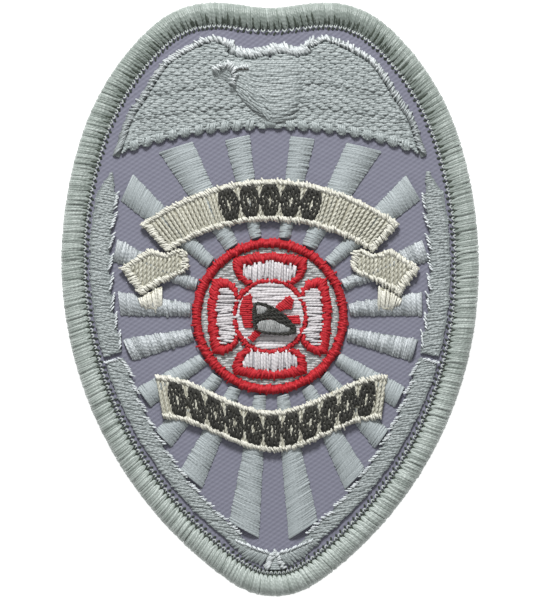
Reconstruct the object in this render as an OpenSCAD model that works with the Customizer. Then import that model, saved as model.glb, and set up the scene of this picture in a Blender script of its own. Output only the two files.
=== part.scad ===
// Firefighter's badge patch: an embroidered shield with a thick overlocked border.
// It lies on its back on z = 0, with the front facing +Z and the top towards +Y.
// Tables give places in percent of the half width (x) and half height (y) of the badge.

/* [Outline] */
// Height of the badge, from the two humps at the top to the tip
badge_height = 88.7; // [75:0.1:105]
// Width of the badge at its widest
badge_width = 62.4; // [54:0.1:74]
// Height of the widest place above the middle
widest_height = 5.3; // [2:0.1:9]
// Distance between the two humps at the top
hump_spacing = 16.7; // [12:0.1:22]
// Depth of the dip between the humps
hump_dip = 0.85; // [0.5:0.05:1.5]
// Radius of the shoulder outside each hump
shoulder_radius = 13.9; // [9:0.1:15]
// Angle above the level at which the shoulder passes into the side
shoulder_end = 47; // [35:1:60]
// Radius of the tip
tip_radius = 11; // [6:0.5:12]
// How far the tip leans to the right
tip_lean = 0.7; // [0:0.1:1.5]

/* [Cloth] */
// Thickness of the twill with its stiff backing
cloth_thickness = 1.1; // [1:0.1:1.6]
// Height of the cloth's back above the surface that the border rests on
cloth_lift = 0.5; // [0.3:0.05:0.7]

/* [Border] */
// Width of the border, seen from the front
border_width = 3.7; // [3:0.1:4.4]
// Thickness of the border
border_height = 2.4; // [2.2:0.1:3]
// How deep the cloth's edge lies in from the outline
cloth_inset = 1; // [0.7:0.1:1.3]

/* [Threads] */
// Gap between pieces that lie side by side
side_gap = 0.12; // [0.08:0.02:0.2]
// Gap between a piece and what it lies on
seat_gap = 0.05; // [0.03:0.01:0.1]
// Thickness of the rays
ray_rise = 0.4; // [0.3:0.05:0.6]
// Thickness of the lower feathers of a wing
wing_rise = 0.4; // [0.3:0.05:0.6]
// How much thicker each tier of feathers above is
tier_rise = 0.14; // [0.08:0.02:0.25]
// Thickness of the satin lines round the eagle
line_rise = 0.8; // [0.6:0.05:1]
// Thickness of the laurel and the tie
laurel_rise = 0.45; // [0.3:0.05:0.6]
// Thickness of the ribbons
ribbon_rise = 0.45; // [0.3:0.05:0.6]
// Thickness of the flat fills in the medallion and the black ornament
fill_rise = 0.25; // [0.2:0.05:0.35]

/* [Eagle] */
// Width of the satin line along the front of a wing
wing_line = 0.95; // [0.7:0.05:1.2]
// Width of the satin line over the head
crest_line = 1.45; // [1.1:0.05:1.8]
// Number of feather tips along the bottom of a wing
feather_count = 12; // [8:1:14]
// How far each feather tip bulges
feather_bulge = 0.6; // [0.3:0.05:0.8]

/* [Laurel] */
// Bare cloth between the border and the laurel
laurel_strip = 0.7; // [0.5:0.1:1]
// Width of the laurel, from its outer side to its leaf tips
laurel_width = 3.3; // [2.6:0.1:3.6]
// How much narrower the lower branches are at the tip
laurel_taper = 1.3; // [0.4:0.1:1.8]
// How far a leaf tip stands out from the next leaf's root
leaf_step = 0.5; // [0.3:0.1:1.1]
// Length of one leaf along the laurel
leaf_pitch = 3.3; // [2.4:0.1:4]

/* [Ribbons] */
// Length of the row of beads on the upper ribbon
upper_run = 15.2; // [13:0.2:17]
// Length of the row of beads on the lower ribbon
lower_run = 30.8; // [26:0.2:31]
// Height of each bead
ornament_height = 4.5; // [3.6:0.1:4.5]
// Width of the thread that joins the beads
ornament_joint = 0.9; // [0.6:0.05:1.2]
// Number of beads on the upper ribbon
upper_count = 5; // [3:2:7]
// Number of beads on the lower ribbon
lower_count = 11; // [7:2:11]

/* [Medallion] */
// Distance of the medallion's middle below the badge's middle
medallion_drop = 2.5; // [1.5:0.1:3.5]
// Outer radius of the red ring
medallion_radius = 11.5; // [11:0.05:12]
// Width of the red ring
ring_width = 1.2; // [1:0.05:1.4]
// Width of the red line round each arm of the cross
cross_line = 1.3; // [1:0.05:1.4]
// Bare cloth between the medallion and the rays
ray_clearance = 0.4; // [0.2:0.05:0.8]
// Radius of the white disc in the middle
hub_radius = 5.05; // [4.6:0.05:5.3]
// Width of the thin rim round that disc
hub_line = 0.6; // [0.4:0.05:0.7]

/* [Hidden] */
$fn = 96;
half_w = badge_width / 2;
half_h = badge_height / 2;
cloth_top = cloth_lift + cloth_thickness;
stitch_base = cloth_top + seat_gap;
ribbon_base = stitch_base + ray_rise + seat_gap;
field_radius = medallion_radius - ring_width - side_gap;
cross_base = stitch_base + fill_rise + seat_gap;
tool_base = cross_base + fill_rise + seat_gap;
helmet_base = tool_base + fill_rise + seat_gap;
body_base = stitch_base + wing_rise + 2 * tier_rise + seat_gap;
beak_base = body_base + wing_rise + seat_gap;
hub_outer = hub_radius + hub_line;
// Share of the satin lines' rise that the red ring and the lines round the arms have
ring_share = 0.8;
cross_share = 0.6;
// Longest step along the outline's arcs
arc_step = 2.4;
SIDES = ["left", "right"];
ARMS = ["top", "right", "bottom", "left"];

// Cross section of a satin column: share of the way across, share of the rise
SATIN = [[0, 0.35], [0.12, 0.8], [0.35, 1], [0.65, 1], [0.88, 0.8], [1, 0.35]];
// Cross section of a ribbon, whose two edges are raised round a lower fill
RIBBON = [[0, 0.3], [0.03, 0.85], [0.07, 1], [0.12, 0.8], [0.88, 0.8], [0.93, 1], [0.97, 0.85], [1, 0.3]];
ribbon_fill = 0.8;

// The rays of one side, from the top round to the bottom.
// Columns: lower corner x, y, upper corner x, y
RAYS = [
    [21.2, 53.4, 9.8, 54.8],
    [52.7, 49.4, 36.7, 52.6],
    [71.1, 33.2, 64.9, 41.7],
    [75.1, 12.9, 72.3, 19.9],
    [71.6, -5.3, 72.3, 2.5],
    [66.1, -20.5, 70.1, -13.4],
    [58, -36.1, 63.5, -29.4],
    [48.4, -49.6, 55.3, -43.7],
    [34.1, -63.3, 43.7, -56.8],
    [7.2, -80, 21, -74.1],
];
ray_count = len(RAYS);

// Front edge of the right wing, from its tip to the head. Columns: x, y
WING_FRONT = [
    [74.6, 48.2], [71.6, 54.8], [68.2, 61.4], [62.5, 67.3], [57.3, 73.3], [50.6, 80],
    [42.9, 83.6], [35.8, 86.3], [28.6, 88.2], [23.9, 88], [18.6, 86.2],
];
// Lines that the feather tips of the right wing follow. Columns: outer x, y, inner x, y, sag
FEATHER_ROWS = [
    [73.6, 49.4, 0.4, 58.4, -1],
    [67.5, 60.9, 0.4, 66.2, -0.3],
    [60.5, 69.1, 0.4, 74.2, -0.3],
];
// Height of a wing's upper inner corner, and how far the cut for the satin line over the head reaches up
wing_top = 85;
crest_cut = 4.5;
// Satin line over the head, from left to right. Columns: x, y
CREST = [[-17.9, 85.6], [-15.3, 84.6], [-11.9, 84], [-8.6, 83.8], [-3.8, 84.6], [1, 85.3], [4.8, 85.6],
    [9.5, 85.3], [12.9, 84.5], [17.9, 85.6]];
// Head and breast, round from the beak. Columns: x, y
BODY = [
    [-26.4, 76.6], [-22.6, 79.2], [-17.6, 79.8], [-8, 79.6], [4, 80.6], [13.4, 80.2],
    [15.6, 74], [14.6, 67.2], [10.8, 62], [5, 59.6], [-2.4, 60.4], [-9.6, 64.4], [-16.2, 70],
    [-20.4, 73.4], [-25, 74],
];
// Beak and throat. Columns: x, y
BEAK = [[-26.4, 76], [-22.4, 77.8], [-18.4, 77.4], [-17.8, 75], [-18.6, 72.2]];
beak_line = 0.6;

// The two ribbons. Columns: end x, end y and middle y of the top edge, then of the bottom edge
UPPER_RIBBON = [[61.8, 25.3, 40.2], [49.1, 15.9, 26.4]];
LOWER_RIBBON = [[55.3, -25.2, -37.2], [51.8, -39.9, -50.9]];
// Folded end of the upper ribbon, on the right. Columns: top edge x, y, bottom edge x, y
FOLD = [
    [71.3, 10.5, 61.3, 1.3], [66.5, 12.9, 57.5, 3], [61.8, 15.2, 54.1, 4.5], [57, 16.9, 50.8, 5.8],
    [49.1, 15, 47.5, 6.8], [46.5, 16.2, 43.6, 8], [43.6, 16.9, 40.8, 9.2], [39.8, 16.2, 38.4, 11.2],
];
// Tail under the fold, on the right. Columns: top edge x, y, bottom edge x, y
TAIL = [[62.7, 0.2, 60.8, -2], [58.9, 1.5, 57.5, -3.2], [55.1, 3.2, 53.7, -3.5], [51.3, 4.4, 50.8, -2.2]];

// Laurel branches, along the side of the outline: 0 is its widest place, -1 where the tip begins.
// Columns: place of the root, of the last leaf, share of the taper
LAUREL_UPPER = [-0.27, 0.26, 0];
LAUREL_LOWER = [-0.288, -0.99, 1];
// Where one leaf of the laurel narrows. Columns: share of the leaf's length, share of the step
LEAF = [[0, 0], [0.35, 0.35], [0.7, 0.65], [0.96, 1]];
// Share of the step that the side facing the border has
back_step = 0.33;
// Tie at the tip. Columns: x, y
KNOT = [[-5.2, -89.8], [-2.8, -86.2], [0.4, -84], [3.4, -86.2], [5.8, -89.8]];
knot_line = 0.8;

// Arms of the cross, in mm from the medallion's middle.
// Columns: bearing, reach, half width at the corners
CROSS = [
    [0, 9.4, 5.4],
    [-90, 9.1, 5.6],
    [180, 9.3, 5.4],
    [90, 9.2, 5.55],
];
// Share of the reach that the corners of an arm have
arm_corner = 0.92;
// Side of an arm, from the neck to the corner.
// Columns: share of the half width, share of the reach, share of the line's width across and along
ARM_SIDE = [
    [0.6, 0, 0.6, 0],
    [0.75, 0.53, 0.78, -0.35],
    [0.93, 0.63, 0.92, -0.1],
    [1.02, 0.77, 1.04, 0.27],
    [1, arm_corner, 1, 1],
];

// Helmet and tools, in percent of the hub's radius. Columns: x, y
HELMET = [
    [-47, 38], [-32, 43], [-9, 35], [21, 21], [47, 3], [62, -15], [76, -29], [76, -50],
    [41, -56], [12, -53], [-18, -50], [-41, -41], [-51, -18], [-51, 15],
];
CROWN = [[-42, -24], [-29, -12], [-10, -7], [12, -8], [26, -17], [46, -26], [62, -35], [60, -45],
    [30, -49], [-12, -46], [-36, -40]];
SHIELD = [[-42, 32], [-31, 34], [-6, 24], [-14, 8], [-40, 4]];
AXE = [[-90, 22], [-78, 58], [-56, 66], [-50, 30], [52, 2], [86, 4], [88, -24], [60, -20], [-46, 6],
    [-50, -34], [-74, -34]];
PIKE = [[-64, -64], [-50, -76], [38, 20], [62, 22], [70, 46], [58, 62], [40, 50], [24, 36]];

function ray_name(side, i) = str("ray_", side, "_", i < 10 ? "0" : "", i);

// Lists and paths
function reversed(list) = [for (i = [len(list) - 1 : -1 : 0]) list[i]];
function mix(a, b, share) = a + (b - a) * share;
function mirrored(path) = [for (p = path) [-p.x, p.y]];
function unit(v) = v / norm(v);

// How far the badge leans to the right at height y, below its widest place
function lean_at(y) = tip_lean * max(0, widest_height - y) / (half_h + widest_height);
function leaned(p) = p + [lean_at(p.y), 0];
// A place on the badge from its percent of the half width and half height
function at(p) = leaned([p.x / 100 * half_w, p.y / 100 * half_h]);
function places(table) = [for (p = table) at(p)];

// A smooth open curve through points, with some steps in each span
function curve_at(a, b, c, d, t) =
    0.5 * (2 * b + (c - a) * t + (2 * a - 5 * b + 4 * c - d) * t * t + (3 * b - a - 3 * c + d) * t * t * t);
function smooth(p, steps) = let (last = len(p) - 1) concat(
    [for (i = [0 : last - 1], k = [0 : steps - 1])
        curve_at(i > 0 ? p[i - 1] : 2 * p[0] - p[1], p[i], p[i + 1],
                 i < last - 1 ? p[i + 2] : 2 * p[last] - p[last - 1], k / steps)],
    [p[last]]
);
// The same for a closed outline
function smooth_loop(p, steps) = let (n = len(p))
    [for (i = [0 : n - 1], k = [0 : steps - 1])
        curve_at(p[(i + n - 1) % n], p[i], p[(i + 1) % n], p[(i + 2) % n], k / steps)];

// A path moved to its left by a distance, with its corners kept sharp
function path_side(p, i) = let (
    last = len(p) - 1,
    before = unit(p[max(i, 1)] - p[max(i, 1) - 1]),
    after = unit(p[min(i, last - 1) + 1] - p[min(i, last - 1)]),
    middle = unit(before + after)
) [-middle.y, middle.x] / (middle * before);
function moved(p, d) = [for (i = [0 : len(p) - 1]) p[i] + path_side(p, i) * d];

// The outline: tangent arcs from the dip at the top, over a hump and a shoulder and down a side
// to the tip. Each station holds a point and the way in from it.
function arc(middle, radius, from, to, way = 1) = let (
    n = ceil(abs(to - from) * PI / 180 * radius / arc_step)
) [for (i = [0 : n - 1]) let (a = from + (to - from) * i / n, out = [cos(a), sin(a)])
        [middle + radius * out, -way * out]];
function angle_of(v) = atan2(v.y, v.x);
hump_x = hump_spacing / 2;
hump_radius = (pow(hump_x, 2) + pow(hump_dip, 2)) / (4 * hump_dip);
hump_sweep = asin(hump_x / 2 / hump_radius);
shoulder_middle = [hump_x, half_h - shoulder_radius];
widest = [half_w, widest_height];

// From the shoulder's end to the widest place: two arcs that touch at the joint
shoulder_out = [cos(shoulder_end), sin(shoulder_end)];
shoulder_foot = shoulder_middle + shoulder_radius * shoulder_out;
flank_way = [shoulder_out.y, -shoulder_out.x];
side_way = [0, -1];
flank_span = widest - shoulder_foot;
flank_share = flank_span * (flank_way + side_way);
flank_turn = 2 * (1 - flank_way * side_way);
flank_reach = (sqrt(pow(flank_share, 2) + flank_turn * (flank_span * flank_span)) - flank_share) / flank_turn;
flank_joint = (shoulder_foot + widest + flank_reach * (flank_way - side_way)) / 2;
flank_chord = flank_joint - shoulder_foot;
flank_radius = flank_chord * flank_chord / (-2 * (shoulder_out * flank_chord));
flank_middle = shoulder_foot - flank_radius * shoulder_out;
upper_chord = flank_joint - widest;
upper_radius = upper_chord * upper_chord / (-2 * upper_chord.x);
upper_middle = widest - [upper_radius, 0];
flank_end = angle_of(flank_joint - upper_middle);

// From the widest place to the tip: the arc that leaves the one upright and touches the other
tip_middle = [0, tip_radius - half_h];
tip_span = tip_middle - widest;
lower_radius = (tip_span * tip_span - pow(tip_radius, 2)) / (2 * (-tip_span.x - tip_radius));
lower_middle = widest - [lower_radius, 0];
lower_sweep = angle_of(tip_middle - lower_middle);

SIDE_STATIONS = concat(
    arc([0, half_h - hump_dip + hump_radius], hump_radius, -90, -90 + hump_sweep, -1),
    arc([hump_x, half_h - hump_radius], hump_radius, 90 + hump_sweep, 90),
    arc(shoulder_middle, shoulder_radius, 90, shoulder_end),
    arc(flank_middle, flank_radius, shoulder_end, flank_end),
    arc(upper_middle, upper_radius, flank_end, 0),
    arc(lower_middle, lower_radius, 0, lower_sweep),
    arc(tip_middle, tip_radius, lower_sweep, -90)
);
RIM = concat(
    [for (s = SIDE_STATIONS) [leaned(s[0]), s[1]]],
    [[leaned([0, -half_h]), [0, 1]]],
    [for (i = [len(SIDE_STATIONS) - 1 : -1 : 1]) let (s = mirrored(SIDE_STATIONS[i])) [leaned(s[0]), s[1]]]
);
function rim(inset) = [for (s = RIM) s[0] + s[1] * inset];
// A place along a side of the outline, at a share of the sweep of its lower arc
function side_place(share, inset, turn) = let (
    middle = (share > 0 ? upper_middle : lower_middle),
    radius = (share > 0 ? upper_radius : lower_radius) - inset,
    bearing = -share * lower_sweep
) leaned([turn * (middle.x + radius * cos(bearing)), middle.y + radius * sin(bearing)]);

// A solid under a domed skin between two rails, from the right rail to the left one
module column(right, left, base, rise, shape = SATIN, ends = 0.6) {
    n = len(right);
    m = len(shape) + 2;
    points = [for (i = [0 : n - 1]) let (share = (i == 0 || i == n - 1) ? ends : 1) each concat(
        [[right[i].x, right[i].y, base]],
        [for (q = shape) let (p = mix(right[i], left[i], q[0])) [p.x, p.y, base + rise * q[1] * share]],
        [[left[i].x, left[i].y, base]]
    )];
    faces = concat(
        [for (i = [0 : n - 2], j = [0 : m - 1]) let (a = i * m + j, b = i * m + (j + 1) % m)
            each [[a, b, b + m], [a, b + m, a + m]]],
        [[for (j = [m - 1 : -1 : 0]) j]],
        [[for (j = [0 : m - 1]) (n - 1) * m + j]]
    );
    polyhedron(points, faces);
}

// A satin line along a path, to its left
module satin_line(path, width, base, rise) column(path, moved(path, width), base, rise);

module plate(points, base, rise) translate([0, 0, base]) linear_extrude(rise) polygon(points);

module on_side(side) {
    if (side == "left") mirror([1, 0, 0]) children();
    else children();
}

// Cloth
module twill_ground() color("#8d8ba3") plate(rim(cloth_inset), cloth_lift, cloth_thickness);

// Border: rolled over and under the cloth's edge. Columns: distance in from the outline, height
function border_section() = let (
    round_x = border_width * 0.42,
    round_z = border_height / 2,
    slot_x = cloth_inset - side_gap
) concat(
    [for (a = [240 : -24 : 96]) [round_x * (1 + cos(a)), round_z * (1 + sin(a))]],
    [[border_width * 0.55, border_height],
     [border_width * 0.8, mix(cloth_top, border_height, 0.75)],
     [border_width, cloth_top + 2 * seat_gap],
     [slot_x, cloth_top + seat_gap],
     [slot_x, cloth_lift - seat_gap],
     [border_width, cloth_lift - seat_gap],
     [border_width * 0.9, -0.1],
     [round_x * 0.5, -0.1]]
);

module merrow_border() color("#b6c3ba") difference() {
    section = border_section();
    n = len(RIM);
    m = len(section);
    polyhedron(
        [for (s = RIM, q = section) let (p = s[0] + s[1] * q.x) [p.x, p.y, q.y]],
        [for (i = [0 : n - 1], j = [0 : m - 1])
            let (a = i * m, b = ((i + 1) % n) * m, c = (j + 1) % m)
            each [[a + j, b + j, b + c], [a + j, b + c, a + c]]]
    );
    translate([-badge_width, -badge_height, -1]) cube([2 * badge_width, 2 * badge_height, 1]);
}

// Rays: each tapers towards the medallion's middle
module ray(side, i) {
    row = RAYS[i - 1];
    middle = [0, -medallion_drop];
    turn = side == "left" ? -1 : 1;
    low = at([turn * row[0], row[1]]);
    high = at([turn * row[2], row[3]]);
    root = medallion_radius + ray_clearance;
    function rail(corner) = [for (k = [0 : 4]) mix(middle + unit(corner - middle) * root, corner, k / 4)];
    color("#a9b3af") column(side == "left" ? rail(high) : rail(low), side == "left" ? rail(low) : rail(high),
        stitch_base, ray_rise);
}

// Eagle
function wing_front() = smooth(places(WING_FRONT), 2);
// A row of feather tips from the outside in
function feather_row(row) = let (
    from = at([row[0], row[1]]),
    to = at([row[2], row[3]]),
    steps = 4
) [for (k = [0 : feather_count - 1], j = [0 : steps - 1]) let (t = (k + j / steps) / feather_count)
    mix(from, to, t) - [0, row[4] * sin(180 * t) + feather_bulge * sin(180 * j / steps)]];

// The strip of cloth that a satin line takes, with a gap all round
function longer(path) = let (last = len(path) - 1) concat(
    [path[0] + unit(path[0] - path[1]) * side_gap],
    [for (i = [1 : last - 1]) path[i]],
    [path[last] + unit(path[last] - path[last - 1]) * side_gap]
);
module strip_of(path, from, to)
    polygon(concat(moved(longer(path), from), reversed(moved(longer(path), to))));

module wing(side) {
    front = wing_front();
    over_head = smooth(places(CREST), 2);
    crest = side == "left" ? reversed(mirrored(over_head)) : over_head;
    inner_corner = at([FEATHER_ROWS[0][2], wing_top]);
    color("#a7b0ac") on_side(side) for (tier = [0 : len(FEATHER_ROWS) - 1]) {
        row = feather_row(FEATHER_ROWS[tier]);
        translate([0, 0, stitch_base]) linear_extrude(wing_rise + tier * tier_rise) difference() {
            polygon(concat([for (p = front) if (p.y > row[0].y) p], [inner_corner], reversed(row)));
            strip_of(front, -side_gap, wing_line + side_gap);
            strip_of(crest, crest_cut, -crest_line - side_gap);
        }
    }
}

module wing_edge(side) color("#c9d2ce") on_side(side)
    satin_line(wing_front(), wing_line, stitch_base, line_rise);

module eagle_body() color("#a9b3af") plate(smooth_loop(places(BODY), 3), body_base, wing_rise);

module eagle_crest() color("#c9d2ce") {
    path = smooth(places(CREST), 2);
    column(moved(path, -crest_line), path, stitch_base, line_rise);
}

module eagle_beak() color("#dde4e0") {
    path = smooth(places(BEAK), 2);
    satin_line(path, beak_line, beak_base, fill_rise);
}

// Laurel: a strand of leaves, each stepping back to the next one's root
module laurel(side, branch) {
    turn = side == "left" ? -1 : 1;
    sweep = abs((branch[1] - branch[0]) * lower_sweep);
    count = round(sweep * PI / 180 * lower_radius / leaf_pitch);
    function taper(t) = branch[2] * laurel_taper * t;
    // The last leaf runs out to a point
    function place(t, across) = side_place(mix(branch[0], branch[1], t),
        border_width + laurel_strip + taper(t) / 2
            + (laurel_width - taper(t)) * mix(across, 0.5, max(0, t * count - count + 1.2) / 1.2), turn);
    function edge(across, step) = [for (k = [0 : count - 1], q = LEAF)
        place((k + q[0]) / count, across + step / laurel_width * q[1])];
    color("#a7b1ac") plate(concat(
        edge(1 - leaf_step / laurel_width, leaf_step),
        [place(1, 0.5)],
        reversed(edge(back_step * leaf_step / laurel_width, -back_step * leaf_step))
    ), stitch_base, laurel_rise);
}

module base_knot() color("#c3ccc8") {
    path = smooth(places(KNOT), 2);
    column(moved(path, -knot_line), path, stitch_base, laurel_rise);
}

// Ribbons: the upper one arches, the lower one hangs like a bell upside down
function arch(u) = 1 - u * u;
function bell(u) = (1 + cos(180 * u)) / 2;
function edge_place(row, u, rise) = at([row[0] * u, mix(row[1], row[2], rise)]);
function across(table, u, v, rise) = mix(edge_place(table[1], u, rise), edge_place(table[0], u, rise), v);
function place_on(ribbon, u, v) =
    ribbon == "upper" ? across(UPPER_RIBBON, u, v, arch(u)) : across(LOWER_RIBBON, u, v, bell(u));

module ribbon(name) color("#d8d4c0") column(
    [for (k = [-11 : 11]) place_on(name, k / 11, 0)],
    [for (k = [-11 : 11]) place_on(name, k / 11, 1)],
    ribbon_base, ribbon_rise, RIBBON, ribbon_fill
);

module ribbon_end(side, table) color("#d3cfba") on_side(side) column(
    [for (row = reversed(table)) at([row[2], row[3]])],
    [for (row = reversed(table)) at([row[0], row[1]])],
    ribbon_base, ribbon_rise, RIBBON, ribbon_fill
);

// Ornament: a row of pierced beads joined by a thread, along the middle of a ribbon.
// Half of a bead's outline. Columns: share of the pitch, share of the way from the thread's side to the top
BEAD = [[-0.46, 0], [-0.4, 0.55], [-0.27, 1], [0.27, 1], [0.4, 0.55], [0.46, 0]];
// Hole of a bead. Columns: share of the pitch, share of the bead's half height
HOLE = [[-0.1, 0], [0, 0.42], [0.1, 0], [0, -0.42]];

module ornament(name, count, run) {
    half_run = (place_on(name, 1, 0.5) - place_on(name, -1, 0.5)).x / 2;
    depth = norm(place_on(name, 0, 1) - place_on(name, 0, 0));
    high = ornament_height / depth / 2;
    thin = ornament_joint / depth / 2;
    function spot(x, v) = place_on(name, x * run / count / half_run, 0.5 + v);
    middles = [for (k = [0 : count - 1]) k - (count - 1) / 2];
    outline = concat(
        [for (c = middles, q = BEAD) spot(c + q[0], mix(thin, high, q[1]))],
        reversed([for (c = middles, q = BEAD) spot(c + q[0], -mix(thin, high, q[1]))])
    );
    holes = [for (c = middles, q = HOLE) spot(c + q[0], q[1] * high)];
    corners = len(HOLE);
    color("#2b2b26") translate([0, 0, ribbon_base + ribbon_rise * ribbon_fill + seat_gap])
        linear_extrude(fill_rise) polygon(
            concat(outline, holes),
            concat([[for (i = [0 : len(outline) - 1]) i]],
                   [for (k = [0 : count - 1]) [for (j = [0 : corners - 1]) len(outline) + corners * k + j]])
        );
}

// Medallion
module in_medallion(base) translate([0, -medallion_drop, base]) children();

module satin_ring(outer, width, rise) rotate_extrude() polygon(concat(
    [[outer - width, 0]],
    [for (q = SATIN) [outer - width + q[0] * width, q[1] * rise]],
    [[outer, 0]]
));

module medallion_field() color("#a5a59b") in_medallion(stitch_base)
    cylinder(r = field_radius, h = fill_rise);

module medallion_ring() color("#c8202f") in_medallion(stitch_base)
    satin_ring(medallion_radius, ring_width, fill_rise + seat_gap + ring_share * line_rise);

// Outline of one arm moved in by an inset, from one neck over the outer edge to the other neck
function arm_side(row, inset) = [for (q = ARM_SIDE) let (x = q[0] * row[2] - q[2] * inset)
    [x, q[1] == 0 ? sqrt(pow(hub_outer + side_gap, 2) - x * x) : q[1] * row[1] - q[3] * inset]];
function arm_top(row, inset) = [for (share = [-0.7 : 0.35 : 0.7])
    [share * (row[2] - inset), row[1] * mix(1, arm_corner, share * share) - inset]];
function arm_path(row, inset) = let (side = arm_side(row, inset))
    concat(mirrored(side), arm_top(row, inset), reversed(side));

module cross_edge(i) color("#c8202f") in_medallion(cross_base) rotate([0, 0, CROSS[i][0]])
    column(arm_path(CROSS[i], cross_line), arm_path(CROSS[i], 0), 0, cross_share * line_rise);

module cross_fill(i) color("#ebe8ee") in_medallion(cross_base) rotate([0, 0, CROSS[i][0]])
    linear_extrude(fill_rise + seat_gap) difference() {
        polygon(arm_path(CROSS[i], cross_line + 1.5 * side_gap));
        circle(r = hub_outer + side_gap);
    }

module hub_disc() color("#ebe8ee") in_medallion(cross_base)
    cylinder(r = hub_radius - side_gap, h = fill_rise);

module hub_rim() color("#c8202f") in_medallion(cross_base)
    satin_ring(hub_outer, hub_line, cross_share * line_rise);

function in_hub(table) = table * hub_radius / 100;

module tool(table, base) color("#c0202c") in_medallion(base)
    linear_extrude(fill_rise) polygon(in_hub(table));

module helmet_outline() color("#2b2b26") in_medallion(helmet_base + fill_rise + seat_gap)
    linear_extrude(fill_rise) difference() {
        polygon(in_hub(HELMET));
        polygon(in_hub(CROWN));
        polygon(in_hub(SHIELD));
    }

// A grey patch that fills a hole of the helmet, a gap smaller all round
module helmet_patch(table) {
    middle = in_hub([for (i = [0 : 1]) [for (p = table) p[i]] * [for (p = table) 1] / len(table)]);
    color("#6b6d6b") in_medallion(helmet_base + fill_rise + seat_gap) linear_extrude(fill_rise)
        polygon([for (p = in_hub(table)) p + unit(middle - p) * side_gap * 1.4]);
}

twill_ground();
merrow_border();
for (side = SIDES) {
    wing(side);
    wing_edge(side);
    laurel(side, LAUREL_UPPER);
    laurel(side, LAUREL_LOWER);
    ribbon_end(side, FOLD);
    ribbon_end(side, TAIL);
    for (i = [1 : ray_count]) ray(side, i);
}
eagle_body();
eagle_crest();
eagle_beak();
base_knot();
ribbon("upper");  // ribbon_upper
ribbon("lower");  // ribbon_lower
ornament("upper", upper_count, upper_run);  // ornament_upper
ornament("lower", lower_count, lower_run);  // ornament_lower
medallion_field();
medallion_ring();
hub_disc();
hub_rim();
for (i = [0 : 3]) {
    cross_edge(i);
    cross_fill(i);
}
tool(AXE, tool_base);  // tool_axe
tool(PIKE, helmet_base);  // tool_pike
helmet_outline();
helmet_patch(CROWN);  // helmet_crown
helmet_patch(SHIELD);  // helmet_shield
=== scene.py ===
"""Dresses the badge patch. Every stitch that shows is a thread of its own, laid by a few kinds of stitching.

Sizes are in millimetres until a piece is made, with x to the right, y up the badge and z to the front.
Outlines and heights come from the frame's nodes. Places that the solids don't have are named constants.
"""

import math

import bpy
import numpy as np
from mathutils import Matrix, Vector
from mathutils.bvhtree import BVHTree


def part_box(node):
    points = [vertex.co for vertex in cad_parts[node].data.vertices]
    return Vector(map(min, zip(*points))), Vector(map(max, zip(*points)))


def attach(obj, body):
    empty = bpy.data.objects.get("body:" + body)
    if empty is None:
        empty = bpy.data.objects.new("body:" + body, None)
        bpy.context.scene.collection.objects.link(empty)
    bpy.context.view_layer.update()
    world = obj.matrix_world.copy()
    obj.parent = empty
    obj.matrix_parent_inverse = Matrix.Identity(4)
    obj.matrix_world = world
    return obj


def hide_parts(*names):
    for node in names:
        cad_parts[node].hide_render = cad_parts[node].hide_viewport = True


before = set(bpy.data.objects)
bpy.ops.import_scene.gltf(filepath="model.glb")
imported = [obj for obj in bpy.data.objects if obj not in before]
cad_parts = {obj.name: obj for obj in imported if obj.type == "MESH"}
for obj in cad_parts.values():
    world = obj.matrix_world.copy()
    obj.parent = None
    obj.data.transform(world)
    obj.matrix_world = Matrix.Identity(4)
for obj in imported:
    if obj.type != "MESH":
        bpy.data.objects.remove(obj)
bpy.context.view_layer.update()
rng = np.random.default_rng(11)

MM = 0.001
# Outlines are read to this fineness
MICRON = 0.001
# A plain thread's radius, and how many sides a thread has
THREAD = 0.17
SIDES = 6
# Each thread's twist starts somewhere in this length
TWIST_START = 3
# A thread's underside is shaded as if it looked this far up
UNDERSIDE = 0.4
# The least share of its height that the body under a stitch keeps
LEAST_BODY = 0.2
# A face looks to the front when its normal's z is at least this
FRONT = 0.05
# A point of an outline this near to the line between its neighbours is no corner
STRAIGHT = 0.002
UPRIGHT = math.pi / 2
CLOTH_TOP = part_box("twill_ground")[1][2] / MM


def jitter(size, *shape):
    """Random amounts round zero, mostly smaller than size."""
    return rng.normal(0, size, shape or None)


def add_object(name, data):
    thing = bpy.data.objects.new(name, data)
    bpy.context.scene.collection.objects.link(thing)
    return thing


# Outlines of the frame's nodes
def loops(node):
    """A node's closed outlines seen from the front, the longest first. Outer ones run counter-clockwise."""
    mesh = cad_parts[node].data
    edges = {}
    for polygon in mesh.polygons:
        if polygon.normal.z < FRONT:
            continue
        corners = [tuple(round(c / MM / MICRON) for c in mesh.vertices[i].co.xy) for i in polygon.vertices]
        for start, end in zip(corners, corners[1:] + corners[:1]):
            if start == end:
                continue
            if start in edges.get(end, ()):
                edges[end].remove(start)
            else:
                edges.setdefault(start, []).append(end)
    found = []
    starts = [start for start, ends in edges.items() if ends]
    for first in starts:
        if not edges[first]:
            continue
        path = [first]
        while edges.get(path[-1]):
            path.append(edges[path[-1]].pop())
        if len(path) > 3:
            found.append(np.array(path[:-1]) * MICRON)
    return sorted(found, key=lambda p: -np.ptp(p, axis=0).sum())


def norm(v):
    return np.linalg.norm(v, axis=-1)


def unit(v):
    return v / np.maximum(norm(v)[..., None], 1e-12)


def distances(path):
    """The distances along a path, or along each of several, at its points."""
    steps = norm(np.diff(path, axis=-2))
    return np.concatenate([np.zeros_like(steps[..., :1]), np.cumsum(steps, axis=-1)], axis=-1)


def cross(a, b):
    """The cross product of level vectors, above zero where b points to the left of a."""
    return a[:, 0] * b[:, 1] - a[:, 1] * b[:, 0]


def steps_beside(loop):
    """The step to each point from the one before it, and the step from it to the next."""
    return loop - np.roll(loop, 1, axis=0), np.roll(loop, -1, axis=0) - loop


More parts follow.
